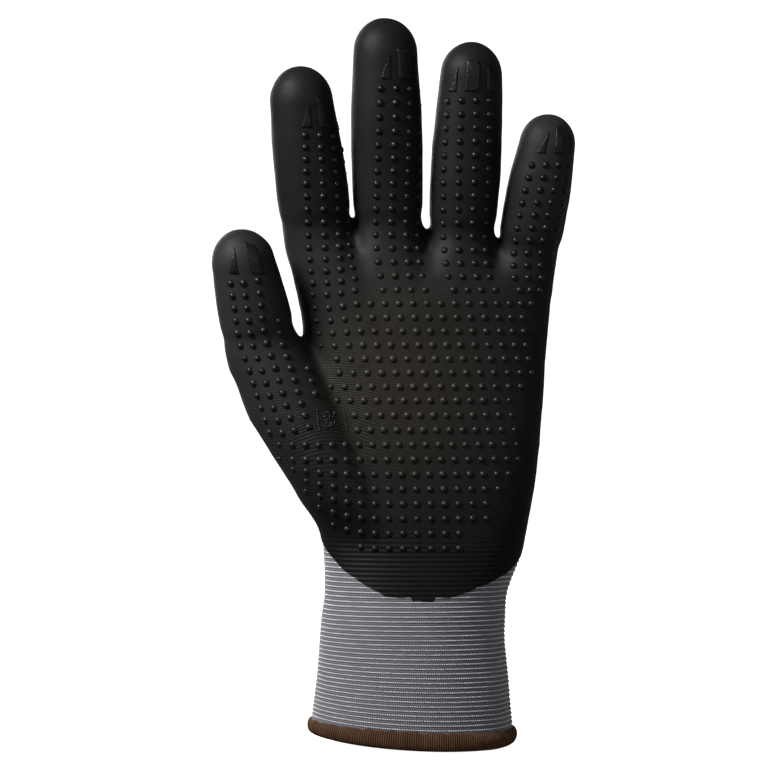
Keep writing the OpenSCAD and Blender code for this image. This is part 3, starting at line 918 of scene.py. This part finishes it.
def arc_share(z=100.0):
    """Share of the way round a section at each angle, so that stitches keep an even width."""
    left, right, depth = (float(v) for v in section(z))
    ring = oval(z, 0, 0, (right - left) / 2, depth, SQUARENESS, 720)
    ring = np.vstack([ring, ring[:1]])
    length = np.concatenate([[0], np.cumsum(np.linalg.norm(np.diff(ring, axis=0), axis=1))])
    angle = np.unwrap(np.arctan2(ring[:, 1] / depth, ring[:, 0] / ((right - left) / 2)))
    return angle, length / length[-1]


SHARE_ANGLE, SHARE = arc_share()


def hand_knit_coords(p):
    left, right, depth = section(p[:, 2])
    angle = np.arctan2(p[:, 1] / depth, (p[:, 0] - (left + right) / 2) / ((right - left) / 2))
    share = np.interp(angle % PI2, SHARE_ANGLE, SHARE)
    return np.stack([share * WALES * HAND_WALES, p[:, 2] / KNIT_COURSE, np.zeros(len(p))], axis=1)


def finger_knit_coords(d, p):
    x, y, s = d.local(p)
    angle = np.arctan2(x, y)
    return np.stack([angle / PI2 * FINGER_WALES, s / KNIT_COURSE, np.zeros(len(p))], axis=1)


def make_layers(skin, digit, part, stem, nodes):
    """The liner and the coating of one part of the skin. The liner starts where the cuff's knit ends."""
    skin = biggest_island(skin)
    whole = skin
    if digit is None:
        skin, _ = split(skin, skin[0][:, 2] - RIB_TOP + LAP)
    rows, _ = skin
    verts, shell_faces, normals = shell(skin, -COAT_T, -COAT_T - KNIT_T)
    p = np.vstack([rows[:, :3], rows[:, :3]])
    knit = hand_knit_coords(p) if digit is None else finger_knit_coords(digits[digit], p)
    liner = add_piece(f"{stem}_liner", verts, shell_faces, normals, KNIT, knit=knit)
    attach(liner, digit, part)
    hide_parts(*nodes["knit"])
    coated, _ = split(whole, whole[0][:, 6])
    edge = np.clip(coated[0][:, 6] / EDGE_FADE, 0, 1)
    outer = -EDGE_THIN * (1 - edge) ** 2
    verts, shell_faces, normals = shell(coated, outer, -COAT_T + OVERLAP)
    foam = add_piece(f"{stem}_foam", verts, shell_faces, normals, COATING)
    attach(foam, digit, part)
    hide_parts(*nodes["coating"])


def make_glove_skin():
    rows, quads = make_skin()
    skin = np.hstack([rows, coat_field(rows[:, :3])[:, None]]), quads
    skin, _ = split(skin, skin[0][:, 2] - SKIN_FOOT)
    for name, d in digits.items():
        mine, skin = split(skin, steady(digit_field(d, skin[0][:, :3]), skin[1]))
        names = part_names(name)
        for part in range(len(names)):
            stem = f"{name}_{names[part]}"
            segment = f"{name}_{segment_name(name, part)}"
            nodes = {"knit": [f"{segment}_knit"], "coating": [f"{segment}_coating"]}
            if part == 0:
                nodes["coating"].append(f"{name}_knuckle_folds")
            if part < len(names) - 1:
                cut = d.plane_height(d.bends[part + 1])
                mine, piece = split(mine, d.height(mine[0][:, :3]) - cut)
            else:
                piece = mine
            make_layers(piece, name, part, stem, nodes)
    make_layers(skin, None, 0, "hand", {"knit": ["hand_knit"], "coating": ["hand_coating"]})
    return rows, quads


skin_rows, skin_quads = make_glove_skin()
skin_tree = BVHTree.FromPolygons([Vector(p) for p in skin_rows[:, :3]], skin_quads)


# ---- grip dots ----

DOT_R = 1.22             # radius of a dot at its foot
DOT_H = 0.72             # height of a dot
DOT_SIDES = 14
# The dot's outline from its foot up: radius, height, and how steeply its surface faces up there
DOT_RINGS = [(1.04, -0.25, 0.1), (1.0, 0.0, 0.25), (0.93, 0.38, 0.55), (0.77, 0.68, 0.85),
             (0.52, 0.89, 1.3), (0.25, 0.985, 3.0)]


def dot_shape():
    a = np.linspace(0, PI2, DOT_SIDES, endpoint=False)
    verts, normals = [], []
    for r, h, steep in DOT_RINGS:
        x, y = r * DOT_R * np.cos(a), r * DOT_R * np.sin(a)
        verts.append(np.stack([x, y, np.full(DOT_SIDES, h * DOT_H)], axis=1))
        normals.append(unit(np.stack([np.cos(a), np.sin(a), np.full(DOT_SIDES, steep)], axis=1)))
    verts.append(np.array([[0, 0, DOT_H]]))
    normals.append(np.array([[0, 0, 1.0]]))
    faces = strips(len(DOT_RINGS), DOT_SIDES)
    last = (len(DOT_RINGS) - 1) * DOT_SIDES
    for i in range(DOT_SIDES):
        faces.append([last + i, last + (i + 1) % DOT_SIDES, last + DOT_SIDES])
    faces.append(list(range(DOT_SIDES))[::-1])
    return np.vstack(verts), faces, np.vstack(normals)


DOT = dot_shape()
rng = np.random.default_rng(11)


def place_dot(point, normal, size=1.0):
    turn = np.array(Vector(normal).to_track_quat("Z", "Y").to_matrix())
    wobble = 1 + 0.05 * rng.standard_normal(2)
    verts = DOT[0] * [size * wobble[0], size * wobble[0], size * wobble[1]]
    return verts @ turn.T + np.array(point), DOT[1], DOT[2] @ turn.T


def hit(origin, direction):
    """Where a ray meets the skin, and the skin's outward direction there."""
    point, _, face, _ = skin_tree.ray_cast(Vector(origin), Vector(direction))
    if point is None:
        return None
    return np.array(point), unit(skin_rows[skin_quads[face], 3:6].mean(axis=0))


def front_hit(x, z):
    return hit((x, -90, z), (0, 1, 0))


groups = {}              # the dots of each finger's part, and of the hand


def owner_of(point):
    """The finger and part that a point of the skin belongs to, or the hand."""
    p = np.array(point)[None]
    for name, d in digits.items():
        if digit_field(d, p)[0] > 0:
            height = d.height(p)[0]
            part = 0
            while part < len(part_names(name)) - 1 and height > d.plane_height(d.bends[part + 1]):
                part += 1
            return name, part
    return None, 0


def add_dot(found, size=1.0):
    if found is None:
        return
    point, normal = found
    groups.setdefault(owner_of(point), []).append(place_dot(point, normal, size))


COLUMNS = 4              # columns of dots on a finger
COLUMN_TURN = 26.5       # angle between them
ROOT_COLUMN = 4.75       # and their distance where they run into the palm's grid
SIDE_TURN = 80           # no dot lies farther round a finger than this
FAR_TURN, FAR_SIZE = 55, 0.88  # and past this one it is smaller
MIDDLE_SWAY = 0.75       # the middle finger's rows are pushed up and down by this
FREE_TOP = 170           # the columns follow a finger's round fully from this height on
RAY_FROM = 8             # so far past a finger's root the dots are still laid on from the front
GRID_TOP = 155.4         # height of the highest row of the palm's grid
GRID_ROW, LOW_ROW = 4.66, 4.96   # distance between its rows, and between those past row 8
ROWS_UP = 8
SQUEEZE, SQUEEZE_RATE = 1.7, 0.34   # its last columns stand closer together
GRID_FRONT = -0.25       # the grid ends where the skin's y direction is above this
FAINT_FRONT, FAINT_SIZE = -0.55, 0.82   # its dots are smaller above this, and at the ends of its rows
# The grid's rows: first and last column of each
GRID_SPAN = [(0, 17), (0, 16), (0, 15), (0, 15), (0, 15), (1, 15), (1, 15), (0, 14), (0, 13), (1, 13),
             (1, 13), (-5, 13), (-5, 13), (-4, 12), (-3, 11), (-3, 10), (-2, 10), (-1, 8), (1, 8)]
BETWEEN_FINGERS = (4, 9, 14)
# Where the grid's columns 1 and 8 run: height and x
COLUMN_1 = [(68, -17), (98, -17.3), (108, -18.2), (118, -20.5), (127, -24.2), (136, -25.7), (155, -28.6)]
COLUMN_8 = [(68, 16), (83, 15.8), (98, 14.5), (118, 10.8), (136, 7.2), (155, 4.6)]
# Where the first column of the thumb's dots runs
THUMB_COLUMN = [(107, -47.7), (116, -50.7), (127, -54.1), (139, -58.1), (148, -59.2), (157, -60.4)]
THUMB_TOP = 157.2        # its highest dot
THUMB_ROWS = 13
THUMB_ROW = 4.16
THUMB_SHORT = [(0, 0), (4.3, 0)]    # its first columns: how far right and up from the first one


def along(points, z):
    return curve(z, *zip(*points))


HANG = 1.5               # how far the grid's rows hang beside the index finger's root
HANG_X, HANG_FROM, HANG_TO = (17, 28), (132, 155), (170, 195)
RISE_X, RISE_Z = -12, 93.2     # left of here and near this height they rise
RISE, RISE_RATE = 0.0021, 0.00055


def sag(x, z):
    """Beside the index finger's root the rows hang a little, low on the left side they rise."""
    hang = HANG * ramp(-x, *HANG_X) * ramp(z, *HANG_FROM) * (1 - ramp(z, *HANG_TO))
    rise = max(0, RISE + RISE_RATE * (RISE_Z - z)) * max(0, RISE_X - x) ** 2
    return float(rise - hang)


def finger_dots(name):
    d, prints = digits[name], PRINTS[name]
    rows = prints["rows"]
    for row in range(rows):
        z = prints["top"] - (prints["top"] - GRID_TOP) * row / rows
        if name == "middle":
            z -= MIDDLE_SWAY * math.sin(PI2 * row / rows)
        first = along(prints["first"], z)
        turned = float(ramp(z, GRID_TOP, FREE_TOP))
        radius = float(d.radius((z - d.root[2]) / d.z[2]))
        for c in range(COLUMNS):
            angle = math.degrees(math.asin(first / radius)) + COLUMN_TURN * c
            if angle > SIDE_TURN:
                continue
            flat = first + ROOT_COLUMN * c
            x = d.axis_x(z) + (flat * (1 - turned) + radius * math.sin(math.radians(angle)) * turned)
            low = sag(x, z)
            if z < d.root[2] + RAY_FROM:
                found = front_hit(x, z + low)
            else:
                found = hit(*d.aim(z + low, angle))
            if found is not None and found[1][1] < FACES_FRONT:
                add_dot(found, 1.0 if angle < FAR_TURN else FAR_SIZE)


def grid_dots():
    for row, (start, end) in enumerate(GRID_SPAN):
        z = GRID_TOP - GRID_ROW * min(row, ROWS_UP) - LOW_ROW * max(row - ROWS_UP, 0)
        left, right = along(COLUMN_1, z), along(COLUMN_8, z)
        squeeze = 13 - 2 * float(ramp(-z, -112, -95))
        for column in range(start, end + 1):
            if row == 0 and column in BETWEEN_FINGERS:
                continue
            x = left + (right - left) * (column - 1) / 7
            x -= SQUEEZE_RATE * max(0, column - squeeze) ** SQUEEZE
            found = front_hit(x, z + sag(x, z))
            if found is None or found[1][1] > GRID_FRONT:
                continue
            faint = found[1][1] > FAINT_FRONT or column < min(start + 1, 1) or (row > 7 and column > 12)
            add_dot(found, FAINT_SIZE if faint else 1.0)


def thumb_dots():
    """Columns that run from the thumb's patches down its side and over the mound."""
    for row in range(THUMB_ROWS):
        z = THUMB_TOP - THUMB_ROW * row
        share = row / (THUMB_ROWS - 1)
        columns = THUMB_SHORT + [(9.2 - 0.7 * share, 0.9)]
        if row > 2:
            columns.append((14.8 - 1.4 * share, 2.7 * share - 0.7))
        if 6 < row < 10:
            columns.append((19.6, 0.7))
        for offset, lift in columns:
            found = front_hit(along(THUMB_COLUMN, z) + offset, z + lift)
            if found is not None and found[1][1] < FACES_FRONT:
                add_dot(found)


BEADS, BEAD_ROW, BEAD_SIZE = 9, 0.8, 0.33    # beads of a stitched line of the mark
BEAD_SLANT = 0.12
SPECKS, SPECK_X, SPECK_Z = 40, 2.4, 2.6      # beads strewn between the lines, and how far


def mark_beads():
    """A small square at the thumb's root: a stitched line down each side, mottled between them."""
    for side in (-1, 1):
        for k in range(BEADS):
            z = MARK[1] + 3.2 - BEAD_ROW * k
            found = front_hit(MARK[0] + side * MARK_HALF + BEAD_SLANT * k, z)
            add_dot(found, BEAD_SIZE)
    for _ in range(SPECKS):
        across, up = rng.uniform(-1, 1, 2)
        found = front_hit(MARK[0] + SPECK_X * across, MARK[1] + SPECK_Z * up)
        add_dot(found, rng.uniform(0.2, 0.36))


for name in ROW:
    finger_dots(name)
grid_dots()
thumb_dots()
mark_beads()
for (digit, part), parts in groups.items():
    verts, faces, normals = join(parts)
    stem = "hand" if digit is None else f"{digit}_{part_names(digit)[part]}"
    obj = add_piece(f"{stem}_grip_dots", verts, faces, normals, DOTS)
    attach(obj, digit, part)
    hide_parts("hand_dots" if digit is None else f"{digit}_{segment_name(digit, part)}_dots")


# ---- grip patches on the fingertips ----

GRIP_W, GRIP_H = 5.0, 9.8      # the rectangle
SIDE_W, SIDE_H = 3.3, 8.0      # the triangles beside it
SIDE_TIP = 0.04                # width left at their tips, as a share of their feet
GRIP_T = 0.38
GRIP_ROUGH = 0.035             # spread of the bumps on their faces
GRIP_EDGE = 0.75               # their edges are lower, by this factor
GRIP_SUNK = 0.2                # depth of their feet in the coating


def patch_part(d, prints, x_of, height, columns, rows):
    """A thin raised plate on the finger: x_of gives its left and right edge at each share of its height."""
    grid = np.zeros((rows + 1, columns + 1, 3))
    out = np.zeros_like(grid)
    for r in range(rows + 1):
        left, right = x_of(r / rows)
        z = prints["foot"] + height * prints["size"] * r / rows
        for c in range(columns + 1):
            across = left + (right - left) * c / columns
            angle = prints["turn"] + math.degrees(across / d.radii[2])
            grid[r, c], out[r, c] = hit(*d.aim(z, angle))
    lift = GRIP_T + GRIP_ROUGH * rng.standard_normal((rows + 1, columns + 1))
    lift[[0, -1], :] = GRIP_T * GRIP_EDGE
    lift[:, [0, -1]] = GRIP_T * GRIP_EDGE
    top = (grid + out * lift[..., None]).reshape(-1, 3)
    foot = (grid - out * GRIP_SUNK).reshape(-1, 3)
    n = len(top)
    wide = columns + 1
    faces = []
    for r in range(rows):
        for c in range(columns):
            i = r * wide + c
            faces.append([i, i + 1, i + 1 + wide, i + wide])
    border = list(range(wide))
    border += [r * wide + columns for r in range(1, rows + 1)]
    border += [rows * wide + c for c in range(columns - 1, -1, -1)]
    border += [r * wide for r in range(rows - 1, 0, -1)]
    walls = [[a, a + n, b + n, b] for a, b in zip(border, border[1:] + border[:1])]
    back = [[i + n for i in reversed(f)] for f in faces]
    return np.vstack([top, foot]), faces + back + walls, np.vstack([out.reshape(-1, 3)] * 2)


def make_patches(name):
    d, prints = digits[name], PRINTS[name]
    half = GRIP_W * prints["size"] / 2
    inner = half + prints["gap"]

    def slope(t):
        return SIDE_W * prints["size"] * (1 - (1 - SIDE_TIP) * t)

    parts = [
        patch_part(d, prints, lambda t: (-half, half), GRIP_H, 14, 26),
        patch_part(d, prints, lambda t: (inner, inner + slope(t)), SIDE_H, 8, 22),
        patch_part(d, prints, lambda t: (-inner - slope(t), -inner), SIDE_H, 8, 22),
    ]
    verts, faces, _ = join(parts)
    obj = add_piece(f"{name}_grip_patches", verts, faces, None, GRIPS)
    attach(obj, name, len(part_names(name)) - 1)
    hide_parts(f"{name}_tip_grips")


for name in DIGITS:
    make_patches(name)


# ---- cuff, its light yarns and the hem ----


CUFF_LOW = 1.0                 # height of the ground knit's foot, inside the hem
FIRST_YARN = 7.2               # height of the lowest light yarn
SINKS = (44, 52)               # heights between which the cuff's knit goes under the coating
RIDGE, STITCH = 0.05, 0.04     # relief of the ground knit's courses and stitches
GROUND_SUNK = 0.1              # depth of the ground knit under the cuff's surface
PER_STITCH = 4                 # points of a yarn or a thread for each of its turns
YARN_UP, YARN_SUNK = 0.3, 0.17       # a yarn's wave, and the depth of its middle
YARN_SWAY = 0.08                     # the wave's height along the cuff
YARN_HIGH, YARN_THICK = 0.24, 0.15   # half height and half thickness of a yarn
YARN_SHIFT = 0.9                     # turn of the wave from one yarn to the next
YARN_EDGE = 0.9                      # the yarns go this far under the coating's edge
THREADS = 225                  # turns of thread round the rim
HEM_H = 6.4                    # height of the hem
HEM_THICK = 1.6                # half its thickness
HEM_SUNK = 0.55                # depth of its middle under the cuff's surface
THREAD_UP = 0.24               # how far a turn of thread stands out


def rim_rise(x, z):
    """The rim isn't level: it rises towards the thumb's side, and the courses above follow it."""
    rise = 0.6 + 4.4 * np.clip((20 - x) / 55, 0, 2) ** 2 + 1.2 * np.clip((x - 26) / 10, 0, 1) ** 2
    return rise * np.clip(1 - z / 46, 0, 1.2) ** 1.3


def cuff_point(share, z, offset):
    """A point of the cuff at that share of the way round and that height, offset outwards."""
    left, right, depth = section(z)
    hw, cx = (right - left) / 2, (left + right) / 2
    angle = np.interp(share % 1, SHARE, SHARE_ANGLE)
    hw, depth = hw + offset, depth + offset
    direction = np.stack([np.cos(angle), np.sin(angle)], axis=-1)
    reach = (np.abs(direction[..., 0]) ** SQUARENESS + np.abs(direction[..., 1]) ** SQUARENESS)
    reach = reach ** (-1 / SQUARENESS)
    x = cx + hw * direction[..., 0] * reach
    y = depth * direction[..., 1] * reach
    return np.stack([x, y, z + rim_rise(x, z)], axis=-1)


def ring_grid(rows, columns):
    """Faces of a closed tube whose columns run round the cuff."""
    faces = strips(rows + 1, columns)
    return [[i % (rows * columns) for i in face] for face in faces]


def sink(z):
    """Under the coating the cuff's knit lies deeper."""
    return -COAT_T * ramp(z, *SINKS)


def make_cuff():
    z = np.arange(CUFF_LOW, RIB_TOP, COURSE / PER_STITCH)
    zz, ss = np.meshgrid(z, np.arange(WALES) / WALES, indexing="ij")
    phase = (zz - FIRST_YARN) / COURSE
    ridge = RIDGE * np.cos(PI2 * phase)
    stitch = STITCH * np.cos(PI2 * WALES / 2 * ss)
    outer = cuff_point(ss, zz, sink(zz) + ridge - GROUND_SUNK + stitch)
    inner = cuff_point(ss, zz, sink(zz) - KNIT_T)
    verts = np.concatenate([outer.reshape(-1, 3), inner[::-1].reshape(-1, 3)])
    faces = ring_grid(2 * len(z), WALES)
    knit = np.stack([ss * WALES, phase, 0 * zz], axis=-1).reshape(-1, 3)
    obj = add_piece("cuff", verts, faces, None, RIB, knit=np.concatenate([knit, knit[::-1]]))
    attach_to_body(obj, "hand")
    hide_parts("cuff_knit")


def make_yarns():
    """Covered elastic yarns laid into the cuff: each comes up between every two stitches as a dash."""
    sides = 4
    columns = WALES * PER_STITCH
    share = np.arange(columns) / columns
    parts = []
    for k, z in enumerate(np.arange(FIRST_YARN, RIB_TOP - 2, COURSE)):
        wave = np.cos(PI2 * WALES * share + YARN_SHIFT * k)
        lift = YARN_UP * wave - YARN_SUNK + 0.03 * np.sin(PI2 * 17 * share + k)
        zz = np.full(columns, z) + YARN_SWAY * np.sin(PI2 * WALES * share + YARN_SHIFT * k)
        base = cuff_point(share, zz, sink(zz))
        away = unit(cuff_point(share, zz, sink(zz) + 1) - base)
        ring, out = [], []
        for a in np.arange(sides) / sides * PI2:
            high, thick = YARN_HIGH * math.sin(a), YARN_THICK * math.cos(a)
            ring.append(cuff_point(share, zz + high, sink(zz) + lift + thick))
            out.append(away * math.cos(a) + np.array([0, 0, 1.0]) * math.sin(a))
        faces = ring_grid(sides, columns)
        turn = np.tile(WALES * share + YARN_SHIFT * k / PI2, sides)
        knit = np.stack([turn, 0 * turn, 0 * turn], axis=1)
        rows = np.hstack([np.concatenate(ring), np.concatenate(out), knit])
        if z > CUFF_EDGE - 3:
            shown = coat_field(base) < YARN_EDGE
            faces = [f for f in faces if all(shown[i % columns] for i in f)]
            for c in np.where(shown)[0]:
                ring_at_c = [r * columns + int(c) for r in range(sides)]
                if not shown[c - 1]:
                    faces.append(ring_at_c)
                if not shown[(c + 1) % columns]:
                    faces.append(ring_at_c[::-1])
            rows, faces = compact(rows, faces)
        parts.append((rows[:, :3], faces, rows[:, 3:]))
    verts, faces, more = join(parts)
    obj = add_piece("cuff_elastic_yarns", verts, faces, more[:, :3], YARN, knit=more[:, 3:])
    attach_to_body(obj, "hand")
    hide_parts("cuff_elastic")


def make_hem():
    """Turns of thread that slant a little; the hem is lower at the glove's sides."""
    sides = 18
    columns = THREADS * PER_STITCH
    share = np.arange(columns) / columns
    thread = THREAD_UP * np.abs(np.cos(math.pi * THREADS * share))
    uneven = 0.07 * np.sin(PI2 * 41 * share + 1.3) + 0.06 * np.sin(PI2 * 23 * share)
    across = HEM_THICK + thread + uneven
    side = np.abs(np.interp(share, SHARE, np.cos(SHARE_ANGLE)))
    tall = HEM_H / 2 - 0.6 * side**2 + thread + uneven
    rings = []
    for k in range(sides):
        a = PI2 * k / sides
        z = tall + 0.1 + tall * math.sin(a)
        rings.append(cuff_point(share + 0.0012 * math.sin(a), z, -HEM_SUNK + across * math.cos(a)))
    verts = np.concatenate(rings)
    faces = ring_grid(sides, columns)
    around = np.repeat(np.arange(sides) / sides, columns)
    knit = np.stack([np.tile(share * THREADS, sides), around, 0 * around], axis=1)
    obj = add_piece("hem", verts, faces, None, HEM, knit=knit)
    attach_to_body(obj, "hand")
    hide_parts("hem_overlock")


make_cuff()
make_yarns()
make_hem()


# ---- camera, light and backdrop ----

CAMERA_PLACE = (-0.0079, -0.970, 0.1223)    # metres
LENS, SENSOR = 131.6, 36
# Place, target and size in metres, and power in watts
LIGHTS = {
    "key": ((-0.4, -0.3, 0.5), (0, 0, 0.15), 0.2, 9),
    "fill": ((0.6, -0.9, 0.25), (0, 0, 0.12), 0.6, 2.5),
    "back": ((-0.5, 1.2, 0.5), (0, 0, 0.12), 0.8, 7),
}
SKY = 0.17                     # strength of the even light from all round
FLOOR = -0.5
BOWL_R, BOWL_BEND, BOWL_H = 3000, 600, 4000    # radius of the backdrop, of its bend, and its height
BOWL_SIDES = 48


def make_camera():
    data = bpy.data.cameras.new("camera")
    data.lens = LENS
    data.sensor_width = SENSOR
    obj = put("camera", data)
    obj.location = CAMERA_PLACE
    obj.rotation_euler = (math.pi / 2, 0, 0)
    bpy.context.scene.camera = obj


def make_light(name, place, target, size, watts):
    data = bpy.data.lights.new(name, "AREA")
    data.shape = "DISK"
    data.size = size
    data.energy = watts
    obj = put(name, data)
    obj.location = place
    way = Vector(target) - Vector(place)
    obj.rotation_euler = way.to_track_quat("-Z", "Y").to_euler()


def make_stage():
    """A white bowl with a floor, lit from itself so that it stays plain; it lights nothing else."""
    n = Nodes("white_sweep")
    n.shader.inputs["Base Color"].default_value = (0.9, 0.9, 0.9, 1)
    n.shader.inputs["Roughness"].default_value = 1.0
    n.shader.inputs["Emission Color"].default_value = (1, 1, 1, 1)
    n.shader.inputs["Emission Strength"].default_value = 1.0
    profile = [(0, FLOOR), (BOWL_R - BOWL_BEND, FLOOR)]
    for a in range(10, 91, 10):
        turn = math.radians(a)
        profile.append((BOWL_R - BOWL_BEND * (1 - math.sin(turn)), FLOOR + BOWL_BEND * (1 - math.cos(turn))))
    profile += [(BOWL_R, BOWL_H), (0, BOWL_H)]
    a = np.arange(BOWL_SIDES) * PI2 / BOWL_SIDES
    rings = []
    for r, z in profile:
        r = max(r, 1.0)
        rings.append(np.stack([r * np.cos(a), r * np.sin(a), np.full(BOWL_SIDES, z)], axis=1))
    obj = put("sweep", make_mesh("sweep", *loft(rings)))
    obj.data.materials.append(n.material)
    obj.visible_diffuse = False
    obj.visible_glossy = False
    obj.visible_shadow = False


def make_world():
    world = bpy.data.worlds.new("studio")
    bpy.context.scene.world = world
    world.use_nodes = True
    world.node_tree.nodes["Background"].inputs["Color"].default_value = (1, 1, 1, 1)
    world.node_tree.nodes["Background"].inputs["Strength"].default_value = SKY


bpy.context.scene.view_settings.view_transform = "Standard"
make_camera()
for light, (place, target, size, watts) in LIGHTS.items():
    make_light(light, place, target, size, watts)
make_stage()
make_world()
